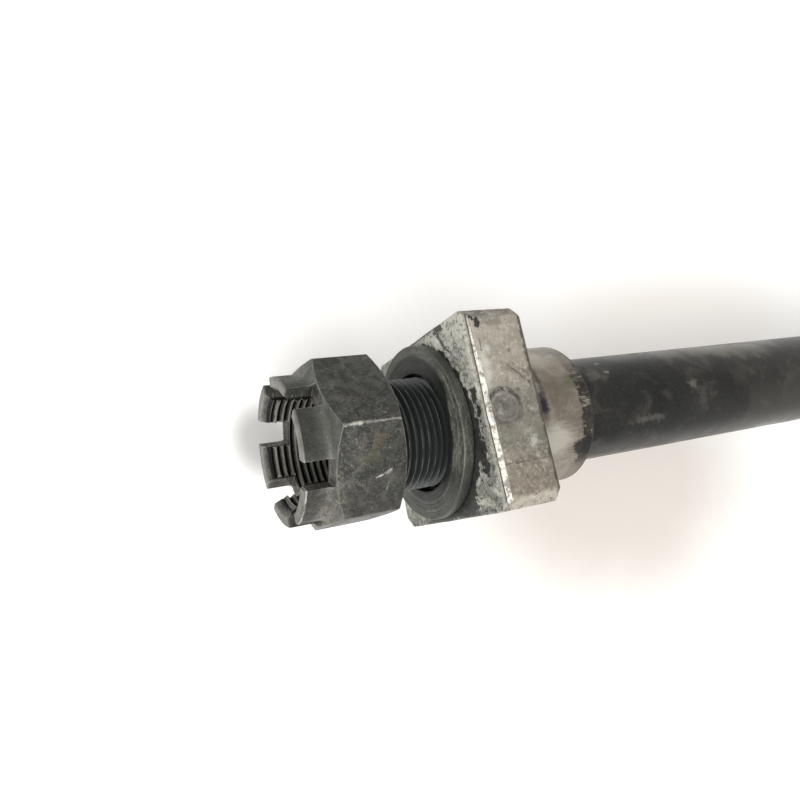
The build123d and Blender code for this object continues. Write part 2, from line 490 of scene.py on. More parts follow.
class Bench:
    """Adds nodes to one material or group, and links them."""

    def __init__(self, tree):
        self.tree = tree

    def feed(self, entry, value):
        """Links a value that changes over the surface, or writes one that doesn't."""
        if isinstance(value, bpy.types.NodeSocket):
            self.tree.links.new(value, entry)
        else:
            entry.default_value = value

    def add(self, kind, entries, **settings):
        """A shader node with what goes into it and its settings."""
        node = self.tree.nodes.new("ShaderNode" + kind)
        for name, value in settings.items():
            setattr(node, name, value)
        for name, value in entries.items():
            self.feed(node.inputs[name], value)
        return node

    def maths(self, operation, *values):
        """One step of arithmetic."""
        return self.add("Math", dict(enumerate(values)), operation=operation).outputs[0]

    def plus(self, first, second):
        """Two values together."""
        return self.maths("ADD", first, second)

    def minus(self, first, second):
        """One value less another."""
        return self.maths("SUBTRACT", first, second)

    def rest(self, mask):
        """What a mask leaves free."""
        return self.minus(1.0, mask)

    def times(self, *values):
        """The product of two or more masks."""
        result = values[0]
        for value in values[1:]:
            result = self.maths("MULTIPLY", result, value)
        return result

    def either(self, *masks):
        """The larger of two or more masks."""
        result = masks[0]
        for mask in masks[1:]:
            result = self.maths("MAXIMUM", result, mask)
        return result

    def vector(self, operation, *values):
        """One step of arithmetic with vectors."""
        node = self.add("VectorMath", dict(enumerate(values)), operation=operation)
        return node.outputs["Value" if operation in ("DOT_PRODUCT", "LENGTH") else "Vector"]

    def joined(self, x, y, z=0.0):
        """A vector from its three parts."""
        return self.add("CombineXYZ", {0: x, 1: y, 2: z}).outputs[0]

    def ramp(self, value, low, high, start=0.0, end=1.0):
        """Start below the low value, end above the high one, and a soft step between."""
        return self.add("MapRange", {0: value, 1: low, 2: high, 3: start, 4: end},
                        interpolation_type="SMOOTHSTEP").outputs[0]

    def paint(self, amount, below, above):
        """One colour over another."""
        return self.add("Mix", {0: amount, 6: below, 7: above}, data_type="RGBA").outputs[2]

    def over(self, colour, tint, *masks):
        """Paints a tint over a colour, as far as all the masks let it."""
        return self.paint(self.times(*masks), colour, srgb(*tint))

    def noise(self, place, size, detail=2.0, roughness=0.5, swirl=0.0):
        """Cloudy noise around 0.5, its lumps of a size in millimetres."""
        return self.add("TexNoise", {"Vector": place, "Scale": self.maths("DIVIDE", 1.0, size),
                                     "Detail": detail, "Roughness": roughness,
                                     "Distortion": swirl}).outputs[0]

    def patches(self, place, size, detail, roughness, low, high, start=0.0, end=1.0):
        """Ragged patches: cloudy noise, cut off softly between two levels."""
        return self.ramp(self.noise(place, size, detail, roughness), low, high, start, end)

    def place(self, group, **entries):
        """Puts a group in, and gives back what comes out of it."""
        node = self.add("Group", {}, node_tree=group)
        for name, value in entries.items():
            self.feed(node.inputs[name.replace("_", " ")], value)
        return node.outputs

    def mask(self, group, place, **entries):
        """The mask that a group gives at a place."""
        return self.place(group, Place=place, **entries)["Mask"]

    def rings(self, distance, spacing):
        """The uneven rings that a lathe leaves, so far apart."""
        return self.place(turning, Distance=distance, Spacing=spacing)["Height"]

    def give(self, result, **values):
        """Hands out what a group makes."""
        for name, value in values.items():
            self.feed(result[name], value)


def new_group(name, entries, results):
    """A node group: its bench, what goes in and what comes out."""
    tree = bpy.data.node_groups.new(name, "ShaderNodeTree")
    for title, value in entries.items():
        kind = "Float" if isinstance(value, float) else {3: "Vector", 4: "Color"}[len(value)]
        entry = tree.interface.new_socket(title, in_out="INPUT",
                                          socket_type="NodeSocket" + kind)
        entry.default_value = value
    for title, kind in results.items():
        tree.interface.new_socket(title, in_out="OUTPUT", socket_type="NodeSocket" + kind)
    given = tree.nodes.new("NodeGroupInput").outputs
    result = tree.nodes.new("NodeGroupOutput").inputs
    return Bench(tree), given, result


def make_position_group():
    """Where a point is, in millimetres: along the axle, across, up, and around the axle."""
    bench, _, result = new_group("position", {}, {
        "Place": "Vector", "Along": "Float", "Across": "Float", "Up": "Float",
        "Radius": "Float", "Angle": "Float"})
    metres = bench.add("TexCoord", {}).outputs["Object"]
    place = bench.vector("MULTIPLY", metres, (1 / MM,) * 3)
    along, across, up = bench.add("SeparateXYZ", {0: place}).outputs
    ring = bench.vector("MULTIPLY", place, (0.0, 1.0, 1.0))
    radius = bench.vector("LENGTH", ring)
    angle = bench.maths("DEGREES", bench.maths("ARCTAN2", up, across))
    bench.give(result, Place=place, Along=along, Across=across, Up=up, Radius=radius, Angle=angle)
    return bench.tree


def make_mottle_group():
    """Three tones of one surface: broad patches of two of them, and specks of the third."""
    bench, given, result = new_group("mottle", {
        "Place": (0.0, 0.0, 0.0), "Patch Size": 4.0, "Speck Size": 0.6, "Specks": 0.5,
        "Dark": srgb(60, 60, 60), "Middle": srgb(90, 90, 90), "Pale": srgb(130, 130, 130)},
        {"Colour": "Color", "Patches": "Float", "Grain": "Float"})
    patches = bench.noise(given["Place"], given["Patch Size"], 5.0, 0.62, 0.4)
    grain = bench.noise(given["Place"], given["Speck Size"], 3.0, 0.6)
    patches = bench.ramp(patches, 0.36, 0.64)
    specks = bench.times(bench.ramp(grain, 0.5, 0.7), given["Specks"])
    colour = bench.paint(patches, given["Dark"], given["Middle"])
    colour = bench.paint(specks, colour, given["Pale"])
    bench.give(result, Colour=colour, Patches=patches, Grain=grain)
    return bench.tree


def make_edge_wear_group():
    """Where edges are rubbed bare: a ragged band along them, of a width in millimetres."""
    bench, given, result = new_group("edge_wear", {
        "Place": (0.0, 0.0, 0.0), "Width": 0.4, "Raggedness": 0.6}, {"Mask": "Float"})
    radius = bench.maths("MULTIPLY", given["Width"], MM)
    rounded = bench.add("Bevel", {"Radius": radius}, samples=8).outputs[0]
    normal = bench.add("NewGeometry", {}).outputs["Normal"]
    turned = bench.rest(bench.vector("DOT_PRODUCT", rounded, normal))
    band = bench.ramp(turned, 0.003, 0.02)
    gaps = bench.ramp(bench.noise(given["Place"], 1.6, 4.0, 0.65), 0.62, 0.42)
    gaps = bench.rest(bench.times(gaps, given["Raggedness"]))
    bench.feed(result["Mask"], bench.times(band, gaps))
    return bench.tree


def make_scratches_group():
    """Fine scratches that run mostly one way: the first axis after the turn given."""
    bench, given, result = new_group("scratches", {
        "Place": (0.0, 0.0, 0.0), "Turn": (0.0, 0.0, 0.0), "Length": 6.0, "Width": 0.15,
        "Amount": 0.5}, {"Mask": "Float"})
    turned = bench.add("VectorRotate", {"Vector": given["Place"], "Rotation": given["Turn"]},
                       rotation_type="EULER_XYZ").outputs[0]
    size = bench.joined(given["Length"], given["Width"], given["Width"])
    stretched = bench.vector("DIVIDE", turned, size)
    lines = bench.noise(stretched, 1.0, 1.0, 0.5, 0.1)
    where = bench.ramp(bench.noise(given["Place"], 7.0), 0.4, 0.6)
    limit = bench.minus(0.78, bench.times(given["Amount"], 0.16))
    mask = bench.ramp(lines, limit, bench.plus(limit, 0.06))
    bench.feed(result["Mask"], bench.times(mask, where))
    return bench.tree


def make_turning_group():
    """The fine uneven rings that a lathe leaves, by a distance in millimetres."""
    bench, given, result = new_group("turning", {"Distance": 0.0, "Spacing": 0.2},
                                     {"Height": "Float"})
    steps = bench.maths("DIVIDE", given["Distance"], given["Spacing"])
    rings = bench.add("TexNoise", {"W": steps, "Scale": 1.0, "Detail": 3.0,
                                   "Roughness": 0.6}, noise_dimensions="1D")
    bench.feed(result["Height"], rings.outputs[0])
    return bench.tree


def make_mark_group():
    """A stained or rubbed spot, or a patch of painted shade, around a centre, with a ragged
    outline.
    """
    bench, given, result = new_group("mark", {
        "Place": (0.0, 0.0, 0.0), "Centre": (0.0, 0.0, 0.0), "Size": (1.0, 1.0, 1.0),
        "Softness": 0.3, "Raggedness": 0.5, "Lump Size": 0.8}, {"Mask": "Float"})
    offset = bench.vector("DIVIDE", bench.vector("SUBTRACT", given["Place"], given["Centre"]),
                          given["Size"])
    lumps = bench.noise(given["Place"], given["Lump Size"], 4.0, 0.6)
    lumps = bench.minus(lumps, 0.5)
    lumps = bench.times(lumps, given["Raggedness"], 3.0)
    gap = bench.plus(bench.vector("LENGTH", offset), lumps)
    inner = bench.rest(given["Softness"])
    bench.feed(result["Mask"], bench.ramp(gap, 1.0, inner))
    return bench.tree


def make_stroke_group():
    """A single scratch or line from one point to another."""
    bench, given, result = new_group("stroke", {
        "Place": (0.0, 0.0, 0.0), "From": (0.0, 0.0, 0.0), "To": (1.0, 0.0, 0.0),
        "Width": 0.2, "Raggedness": 0.5}, {"Mask": "Float"})
    run = bench.vector("SUBTRACT", given["To"], given["From"])
    offset = bench.vector("SUBTRACT", given["Place"], given["From"])
    share = bench.maths("DIVIDE", bench.vector("DOT_PRODUCT", offset, run),
                        bench.vector("DOT_PRODUCT", run, run))
    share = bench.add("Clamp", {0: share}).outputs[0]
    nearest = bench.vector("MULTIPLY", run, bench.joined(share, share, share))
    gap = bench.vector("LENGTH", bench.vector("SUBTRACT", offset, nearest))
    rough = bench.noise(given["Place"], 0.8, 3.0, 0.6)
    wobble = bench.times(bench.minus(rough, 0.5), given["Raggedness"],
                         given["Width"], 3.0)
    line = bench.ramp(bench.plus(gap, wobble), given["Width"],
                      bench.times(given["Width"], 0.1))
    breaks = bench.ramp(bench.noise(given["Place"], 1.5, 3.0, 0.6), 0.56, 0.4)
    breaks = bench.rest(bench.times(breaks, given["Raggedness"], 0.8))
    bench.feed(result["Mask"], bench.times(line, breaks))
    return bench.tree


position = make_position_group()
mottle = make_mottle_group()
edge_wear = make_edge_wear_group()
scratches = make_scratches_group()
turning = make_turning_group()
mark = make_mark_group()
stroke = make_stroke_group()


# Finishes. Each tint is red, green and blue from 0 to 255.

bare_steel = (196, 194, 187)
bright_steel = (205, 204, 196)
black_grease = (24, 25, 25)
brown_dirt = (112, 103, 88)
olive_dirt = (92, 91, 70)
dull_gloss = 0.3


def new_finish(name):
    """A material: its bench, its shader and where each point is."""
    material = bpy.data.materials.new(name)
    material.use_nodes = True
    bench = Bench(material.node_tree)
    return material, bench, material.node_tree.nodes["Principled BSDF"], bench.place(position)


def dress(bench, shader, colour, roughness, metallic, height, depth, gloss=0.5):
    """Feeds the shader. The height's full range is the depth in millimetres."""
    bump = bench.add("Bump", {"Strength": 1.0, "Distance": depth * MM, "Height": height})
    for name, value in (("Base Color", colour), ("Roughness", roughness),
                        ("Metallic", metallic), ("Normal", bump.outputs[0]),
                        ("Specular IOR Level", gloss)):
        bench.feed(shader.inputs[name], value)


def around(x, radius, angle):
    """A point on the part, by its angle in degrees from +Y towards +Z."""
    return (x, radius * cos(radians(angle)), radius * sin(radians(angle)))


def on_front(across, up):
    """A point on the block's front face."""
    return (block_low.x, across, up)


def on_top(along, across):
    """A point on the block's face that the adjuster bolt pushes on."""
    return (along, across, block_high.z)


def stains(bench, place, colour, spots, *masks, **look):
    """Paints ragged stains over a colour; on the spacer, some of them are painted shadow. Each is
    (tint, centre, size, amount).
    """
    for tint, centre, size, amount in spots:
        spot_mask = bench.mask(mark, place, Centre=centre, Size=size, **look)
        colour = bench.over(colour, tint, spot_mask, *masks, amount)
    return colour


def strokes(bench, place, lines, raggedness):
    """The masks of single lines. Each is (from, to, width)."""
    return [bench.mask(stroke, place, From=start, To=end, Width=width, Raggedness=raggedness)
            for start, end, width in lines]


# The nut: blackened, rubbed at its corners, dirty on its lower side, with painted shade in its
# thread

def blackened_steel(bench, at):
    """Charcoal skin of forged and blackened steel with rubbed edges: colour, worn and skin."""
    place = at["Place"]
    upper = bench.ramp(at["Across"], 4.0, 11.0)
    skin = bench.place(mottle, Place=place, Patch_Size=2.2, Speck_Size=0.45,
                       Specks=bench.ramp(upper, 0.0, 1.0, 0.45, 0.18),
                       Dark=srgb(50, 50, 47), Middle=srgb(72, 72, 68),
                       Pale=srgb(124, 123, 116))
    wisps = bench.ramp(bench.noise(place, 3.4, 6.0, 0.75, 1.2), 0.5, 0.64)
    fine = bench.mask(scratches, place, Turn=(0.4, 0.3, 0.9), Length=5.0, Width=0.16,
                      Amount=0.45)
    cross = bench.mask(scratches, place, Turn=(1.9, -0.6, 2.3), Length=3.5, Width=0.14,
                       Amount=0.4)
    worn = bench.mask(edge_wear, place, Width=0.24, Raggedness=0.75)
    colour = bench.over(skin["Colour"], (108, 107, 100), wisps, 0.5)
    colour = bench.over(colour, (158, 156, 149), bench.either(fine, cross), 0.42)
    colour = bench.over(colour, bare_steel, worn, 0.85)
    return colour, worn, skin


def shade_nut(bench, at, colour, skin):
    """Dark prongs, a paler cone and collar root, a pale end, and painted shade on the lower side.
    """
    along, across, radius = at["Along"], at["Across"], at["Radius"]
    root_x = nut_end_x + nut_collar_length
    prong = bench.times(bench.ramp(radius, 14.5, 14.8),
                        bench.ramp(along, root_x - 0.4, root_x - 2.2))
    colour = bench.over(colour, (52, 52, 49), prong, 0.6)
    cone = bench.maths("DIVIDE", bench.minus(along, root_x), hexagon_cone_slope)
    cone = bench.minus(bench.plus(cone, nut_collar_radius), radius)
    cone = bench.times(bench.ramp(cone, 0.3, 0.05), bench.ramp(along, root_x - 3.2, root_x - 0.4))
    pale = bench.patches(at["Place"], 2.0, 4.0, 0.6, 0.3, 0.65, 0.5, 1.0)
    colour = bench.over(colour, (106, 106, 101), cone, pale, 0.6)
    end = bench.ramp(bench.plus(along, bench.times(skin["Grain"], 0.3)),
                     nut_end_x + 0.75, nut_end_x + 0.35)
    colour = bench.over(colour, (152, 151, 144), end, pale, 0.6)
    # Painted shade: darker towards -Y, on the lower side
    return bench.over(colour, (58, 57, 52), bench.ramp(across, -7.0, -14.0), 0.3)


def soil_nut(bench, at, colour, skin):
    """Dry dirt on the lower side, three stains, and small chips."""
    place, along, across = at["Place"], at["Along"], at["Across"]
    low = bench.times(bench.ramp(across, -3.0, -12.0),
                      bench.ramp(along, nut_end_x + 9.0, nut_end_x + 6.0),
                      bench.ramp(along, nut_end_x + 2.0, nut_end_x + 4.6, 0.12, 1.0))
    dirty = bench.patches(place, 1.4, 5.0, 0.75, 0.4, 0.6)
    grit = bench.ramp(skin["Grain"], 0.4, 0.56, 0.3, 1.0)
    colour = bench.over(colour, (128, 122, 110), dirty, low, grit, 0.85)
    colour = stains(bench, place, colour, (
        (brown_dirt, (-167.0, -2.6, 16.7), (2.2, 2.2, 2.2), 0.45),
        (olive_dirt, (-168.6, -5.0, 15.4), (2.8, 2.8, 2.8), 0.45),
        ((110, 104, 96), (-170.5, -3.2, 16.3), (2.4, 2.4, 2.4), 0.45)),
        Softness=0.8, Raggedness=1.0, Lump_Size=1.2)
    chips = bench.patches(place, 1.1, 2.0, 0.5, 0.69, 0.76)
    chips = bench.times(chips, bench.ramp(across, 10.0, 6.0, 0.15, 0.5))
    return bench.over(colour, (150, 149, 142), chips)


def nut_nicks_and_highlight(bench, place):
    """Bright nicked spots in the flats, and a painted highlight along one corner."""
    nicks_and_highlight = []
    for start, end, width, ragged, amount in (
            ((-167.5, -9.1, 13.25), (-164.8, -8.3, 13.75), 0.38, 0.8, 0.75),
            ((-165.4, -8.6, 13.6), (-164.6, -8.1, 13.8), 0.5, 0.6, 0.75),
            ((-164.9, -10.0, 12.9), (-165.5, -11.6, 12.0), 0.2, 0.9, 0.35),
            ((-170.8, -5.6, 15.3), (-169.9, -6.5, 14.8), 0.2, 0.7, 0.5),
            ((-171.8, -2.0, 17.2), (-171.2, -3.4, 16.5), 0.3, 0.7, 0.5),
            # Painted highlight: the bright line along the hexagon's top corner
            (around(-174.0, 18.3, 87.5), around(-168.0, 18.3, 87.5), 0.45, 0.85, 0.85),
            (around(-168.0, 18.3, 87.5), around(-161.5, 18.3, 87.5), 0.3, 0.95, 0.5),
            ((-167.2, 3.4, 17.2), (-164.2, 1.8, 17.6), 0.14, 0.9, 0.4)):
        nick = bench.mask(stroke, place, From=start, To=end, Width=width, Raggedness=ragged)
        nicks_and_highlight.append(bench.times(nick, amount))
    return bench.either(*nicks_and_highlight)


def shade_nut_bore(bench, at, colour):
    """Thread grooves painted black as shade, rubbed crests and the lathe's marks in the mouth."""
    place, along, radius = at["Place"], at["Along"], at["Radius"]
    groove = bench.ramp(radius, nut_crest_radius + 0.25, nut_crest_radius + 0.7)
    inside = bench.times(groove, bench.ramp(radius, nut_bore_radius + 0.55,
                                            nut_bore_radius + 0.05))
    crest = bench.times(bench.ramp(radius, nut_crest_radius + 0.12, nut_crest_radius),
                        bench.ramp(along, tip_x - 0.2, tip_x - 1.0))
    lathe_marks = bench.rings(along, 0.4)
    lathe_marks = bench.times(bench.ramp(lathe_marks, 0.45, 0.62),
                              bench.ramp(radius, nut_mouth_radius + 0.4, nut_mouth_radius - 0.2),
                              bench.patches(place, 1.6, 4.0, 0.6, 0.35, 0.6))
    colour = bench.over(colour, (150, 146, 134), lathe_marks, 0.55)
    colour = bench.over(colour, (166, 163, 152), crest, 0.7)
    # Painted shade: the thread's grooves nearly black
    return bench.over(colour, (17, 17, 17), inside)


def make_nut_finish():
    """The nut's blackened steel."""
    material, bench, shader, at = new_finish("nut_black_oxide")
    place, along = at["Place"], at["Along"]
    colour, worn, skin = blackened_steel(bench, at)
    colour = shade_nut(bench, at, colour, skin)
    colour = soil_nut(bench, at, colour, skin)
    # Bright nicked spots, and the painted highlight along a corner
    nicks_and_highlight = nut_nicks_and_highlight(bench, place)
    colour = bench.over(colour, bright_steel, nicks_and_highlight)
    # Painted highlight: a bright line at the edge of the bore's mouth, near the end
    lip_highlight = bench.times(bench.ramp(along, nut_end_x + 0.75, nut_end_x + 0.55),
                      bench.ramp(along, nut_end_x + 0.25, nut_end_x + 0.45),
                      bench.ramp(at["Angle"], 118.0, 126.0),
                      bench.patches(place, 1.4, 3.0, 0.6, 0.4, 0.54, 0.25, 1.0))
    colour = bench.over(colour, bright_steel, lip_highlight, 0.75)
    colour = shade_nut_bore(bench, at, colour)
    roughness = bench.ramp(skin["Patches"], 0.0, 1.0, 0.56, 0.42)
    metallic = bench.ramp(bench.either(worn, nicks_and_highlight), 0.0, 1.0, 0.45, 0.85)
    height = bench.plus(bench.times(skin["Grain"], 0.5), bench.times(skin["Patches"], 0.5))
    dress(bench, shader, colour, roughness, metallic, height, 0.07, dull_gloss)
    return material


# The shaft: blue-black thread with rubbed crests, dull charcoal length, blackened head

def shade_plain_length(bench, at, skin):
    """Charcoal, smudged, greyer towards the head, with painted light on its upper side near the
    head.
    """
    place, along = at["Place"], at["Along"]
    far = bench.ramp(bench.plus(along, bench.times(bench.noise(place, 22.0), 40.0)), -70.0, -20.0)
    smudges = bench.ramp(bench.noise(place, 7.0, 5.0, 0.6, 0.6), 0.5, 0.68)
    colour = bench.over(skin["Colour"], (52, 50, 46), far, 0.35)
    # Painted light: a lighter band on the upper side, from x -55 towards the head
    edge = bench.plus(along, bench.times(bench.noise(place, 5.0, 2.0), 3.0))
    lit = bench.times(bench.ramp(edge, -56.6, -55.0), bench.ramp(at["Angle"], 84.0, 118.0))
    colour = bench.over(colour, (74, 71, 65), lit, 0.4)
    colour = bench.over(colour, (84, 81, 75), smudges, 0.35)
    hairs = bench.mask(scratches, place, Turn=(0.0, 0.0, 0.1), Length=14.0, Width=0.3,
                       Amount=0.35)
    colour = bench.over(colour, (130, 126, 118), hairs, 0.25)
    for tint, x, angle, length, width, lump, amount in (
            ((112, 110, 104), -93.5, 119.5, 7.5, 1.5, 1.6, 0.4),
            ((126, 121, 113), -77.8, 86.5, 2.2, 1.6, 1.2, 0.5),
            ((100, 98, 93), -107.0, 58.0, 6.5, 3.2, 2.0, 0.4),
            ((138, 136, 130), -103.0, 59.0, 1.0, 0.7, 0.8, 0.7),
            ((124, 122, 116), -103.3, 43.0, 1.0, 0.8, 0.8, 0.6),
            ((92, 91, 86), -106.9, 61.0, 2.6, 1.6, 1.4, 0.7),
            ((88, 86, 80), -75.5, 103.0, 3.4, 5.5, 3.0, 0.4),
            ((132, 126, 116), -58.0, 42.0, 24.0, 6.0, 7.0, 0.5),
            ((26, 26, 24), -64.0, 84.0, 7.0, 8.0, 4.0, 0.45)):
        spot = (tint, around(x, shaft_radius, angle), (length, width, width), amount)
        colour = stains(bench, place, colour, [spot], Softness=0.9, Raggedness=0.9,
                        Lump_Size=lump)
    ring = bench.mask(stroke, place, From=around(-78.9, shaft_radius, 92.0),
                      To=around(-78.9, shaft_radius, 118.0), Width=0.3, Raggedness=0.8)
    return bench.over(colour, (112, 110, 104), ring, 0.35)


def make_shaft_finish():
    """The shaft's blackened steel."""
    material, bench, shader, at = new_finish("shaft_steel")
    place, along, radius = at["Place"], at["Along"], at["Radius"]
    skin = bench.place(mottle, Place=place, Patch_Size=14.0, Speck_Size=0.7, Specks=0.18,
                       Dark=srgb(30, 30, 29), Middle=srgb(38, 38, 36), Pale=srgb(80, 78, 73))
    plain = shade_plain_length(bench, at, skin)

    crest = bench.ramp(radius, thread_radius - 0.09, thread_radius - 0.01)
    rubbed = bench.patches(place, 3.0, 4.0, 0.6, 0.4, 0.6, 0.15, 1.0)
    depth = bench.ramp(radius, thread_root_radius, thread_radius - 0.2)
    thread = bench.paint(depth, srgb(50, 54, 54), srgb(58, 62, 62))
    thread = bench.over(thread, (118, 121, 118), crest, rubbed)
    on_thread = bench.ramp(along, tip_x + thread_length + 1.0, tip_x + thread_length)
    colour = bench.paint(on_thread, plain, thread)

    worn = bench.mask(edge_wear, place, Width=0.35, Raggedness=0.7)
    worn = bench.times(worn, bench.rest(on_thread))
    colour = bench.over(colour, bare_steel, worn, 0.7)
    rings = bench.rings(along, 0.35)
    roughness = bench.ramp(skin["Patches"], 0.0, 1.0, 0.24, 0.36)
    metallic = bench.ramp(worn, 0.0, 1.0, 0.55, 0.9)
    height = bench.plus(bench.times(skin["Grain"], 0.3), bench.times(rings, 0.5))
    dress(bench, shader, colour, roughness, metallic, height, 0.012, dull_gloss)
    return material


# The washer: greenish grey steel, turned rings, and a rubbed track near its edge

def make_washer_finish():
    """The washer's steel, by the distance from its own middle."""
    material, bench, shader, at = new_finish("washer_steel")
    place, across = at["Place"], at["Across"]
    middle = bench.vector("SUBTRACT", place, (0.0, 0.0, washer_z))
    radius = bench.vector("LENGTH", bench.vector("MULTIPLY", middle, (0.0, 1.0, 1.0)))
    rings = bench.rings(radius, 0.22)
    broad = bench.rings(radius, 0.9)
    skin = bench.place(mottle, Place=place, Patch_Size=4.0, Speck_Size=0.4, Specks=0.55,
                       Dark=srgb(58, 60, 56), Middle=srgb(80, 81, 76), Pale=srgb(120, 120, 112))
    colour = bench.over(skin["Colour"], (52, 54, 51), bench.ramp(broad, 0.4, 0.62), 0.5)

    # Rubbed track, its inner edge streaked around the washer
    unrolled = bench.joined(bench.times(radius, 2.2), bench.times(at["Angle"], 0.09),
                            bench.times(at["Along"], 2.2))
    streaks = bench.noise(unrolled, 1.0, 4.0, 0.6)
    ragged = bench.plus(radius, bench.times(streaks, 1.6))
    lower = bench.times(bench.ramp(across, 14.0, 4.0, 0.3, 1.0),
                        bench.ramp(across, -15.0, -8.0, 0.3, 1.0))
    past = bench.minus(ragged, bench.ramp(across, -1.0, 9.0, 15.8, 17.8))
    rubs = bench.times(bench.ramp(streaks, 0.4, 0.6, 0.3, 1.0),
                       bench.ramp(skin["Grain"], 0.36, 0.56, 0.35, 1.0))
    track = bench.times(bench.ramp(past, -0.4, 0.6), bench.ramp(radius, 18.9, 18.0, 0.35, 1.0),
                        lower)
    colour = bench.over(colour, (172, 172, 160), track, rubs, 0.95)
    # Darker between the bore and the track: the nut's contact mark, and painted shade from the nut
    colour = bench.over(colour, (46, 50, 48), bench.ramp(past, 0.3, -0.6),
                        bench.ramp(broad, 0.3, 0.7, 0.95, 0.6))

    # Turned rings on the lower side, darker there as painted shade, and the dark rim
    colour = bench.over(colour, (46, 48, 46), bench.ramp(across, -7.0, -14.0),
                        bench.ramp(streaks, 0.36, 0.6, 0.6, 1.0),
                        bench.ramp(broad, 0.43, 0.6, 0.95, 0.3))
    front_x = washer_low.x
    for start, end, amount in ((around(front_x, 15.3, 149.0), around(front_x, 15.4, 163.0), 0.45),
                               (around(front_x, 17.4, 178.0), around(front_x, 17.3, 192.0), 0.4)):
        arc = bench.mask(stroke, place, From=start, To=end, Width=0.3, Raggedness=0.7)
        colour = bench.over(colour, (140, 141, 131), arc, amount)
    worn = bench.mask(edge_wear, place, Width=0.35, Raggedness=0.5)
    colour = bench.over(colour, (168, 167, 158), worn, bench.ramp(radius, 17.0, 18.5), 0.15)
    rim = bench.times(bench.ramp(radius, 18.7, 18.95), bench.ramp(streaks, 0.35, 0.6, 1.0, 0.4))
    colour = bench.over(colour, (72, 75, 69), rim, 0.55)

    roughness = bench.ramp(streaks, 0.35, 0.65, 0.38, 0.55)
    height = bench.plus(bench.times(rings, 0.7), bench.times(skin["Grain"], 0.3))
    dress(bench, shader, colour, roughness, 0.55, height, 0.03)
    return material


# The adjuster block: pale cast metal, grease and dark veins in front, a rubbed top edge

def paint_push_face(bench, at, colour, top, wander, specks):
    """Pale above, dull in the middle, brownish below, with specks of dirt and stains."""
    place, across = at["Place"], at["Across"]
    dull = bench.times(bench.ramp(across, 7.0, 0.0), bench.ramp(across, -12.0, -5.0))
    dull = bench.times(dull, bench.ramp(bench.noise(place, 4.0, 4.0), 0.3, 0.6, 0.4, 1.0))
    colour = bench.over(colour, (117, 114, 103), top, dull, 0.8)
    colour = bench.over(colour, (132, 122, 107), top, bench.ramp(across, -7.0, -16.0), 0.5)
    colour = bench.over(colour, (88, 83, 68), top, specks, 0.55)
    wear = bench.mask(scratches, place, Turn=(0.0, 0.0, -0.8), Length=4.0, Width=0.2,
                      Amount=0.9)
    colour = bench.over(colour, (206, 202, 192), top, wear, 0.4)
    upper = bench.ramp(bench.plus(across, bench.times(wander, 8.0)), 2.0, 10.0)
    colour = bench.over(colour, (190, 183, 169), top, upper, 0.4)
    return stains(bench, place, colour, (
        ((214, 212, 203), on_top(-144.9, 8.0), (1.7, 6.5, 1.0), 0.7),
        ((208, 205, 196), on_top(-143.6, 11.4), (0.9, 1.5, 1.0), 0.6),
        ((92, 84, 72), on_top(-138.7, 10.6), (0.7, 0.6, 1.0), 0.6),
        ((104, 96, 82), on_top(-135.3, 4.0), (1.0, 2.4, 1.0), 0.6),
        ((116, 112, 92), on_top(-139.2, -1.9), (1.5, 2.4, 1.0), 0.5),
        ((92, 84, 80), on_top(-138.7, 2.5), (1.4, 0.9, 1.0), 0.7),
        ((120, 112, 98), on_top(-140.5, 16.9), (4.0, 1.5, 1.0), 0.6)),
        top, Softness=0.9, Raggedness=0.7, Lump_Size=1.4)


def paint_imprint(bench, at, colour, top):
    """The adjuster bolt's imprint: a dark ring around smudged turned rings."""
    place = at["Place"]
    centre = (block_low.x + dent_from_front, dent_y, 0.0)
    offset = bench.vector("MULTIPLY", bench.vector("SUBTRACT", place, centre), (1.0, 1.0, 0.0))
    warp = bench.times(bench.minus(bench.noise(place, 3.2, 2.0), 0.5), 1.4)
    dent = bench.plus(bench.vector("LENGTH", offset), warp)
    ring = bench.times(bench.ramp(dent, dent_radius - 0.7, dent_radius - 0.1),
                       bench.ramp(dent, dent_radius + 0.7, dent_radius + 0.1))
    inside = bench.ramp(dent, dent_radius + 0.3, dent_radius - 0.4)
    rings = bench.rings(dent, 0.5)
    patchy = bench.patches(place, 1.5, 5.0, 0.7, 0.4, 0.58, 0.15, 1.0)
    upper = bench.ramp(at["Across"], dent_y - 4.0, dent_y + 3.0, 0.35, 1.0)
    colour = bench.over(colour, (128, 124, 120), top, inside, 0.3)
    colour = bench.over(colour, (80, 77, 76), top, inside, bench.ramp(rings, 0.42, 0.6), patchy,
                        0.65)
    colour = stains(bench, place, colour, (
        ((86, 82, 81), on_top(-143.2, 0.5), (1.2, 1.0, 1.0), 0.7),
        ((182, 178, 171), on_top(-143.9, -1.4), (1.1, 0.9, 1.0), 0.6),
        ((176, 172, 165), on_top(-143.4, 2.0), (1.2, 0.5, 1.0), 0.5),
        ((90, 85, 80), on_top(-143.9, -3.5), (1.7, 0.7, 1.0), 0.6)),
        top, Softness=0.9, Raggedness=1.0, Lump_Size=0.8)
    return bench.over(colour, (70, 64, 62), top, ring, patchy, upper, 0.95)


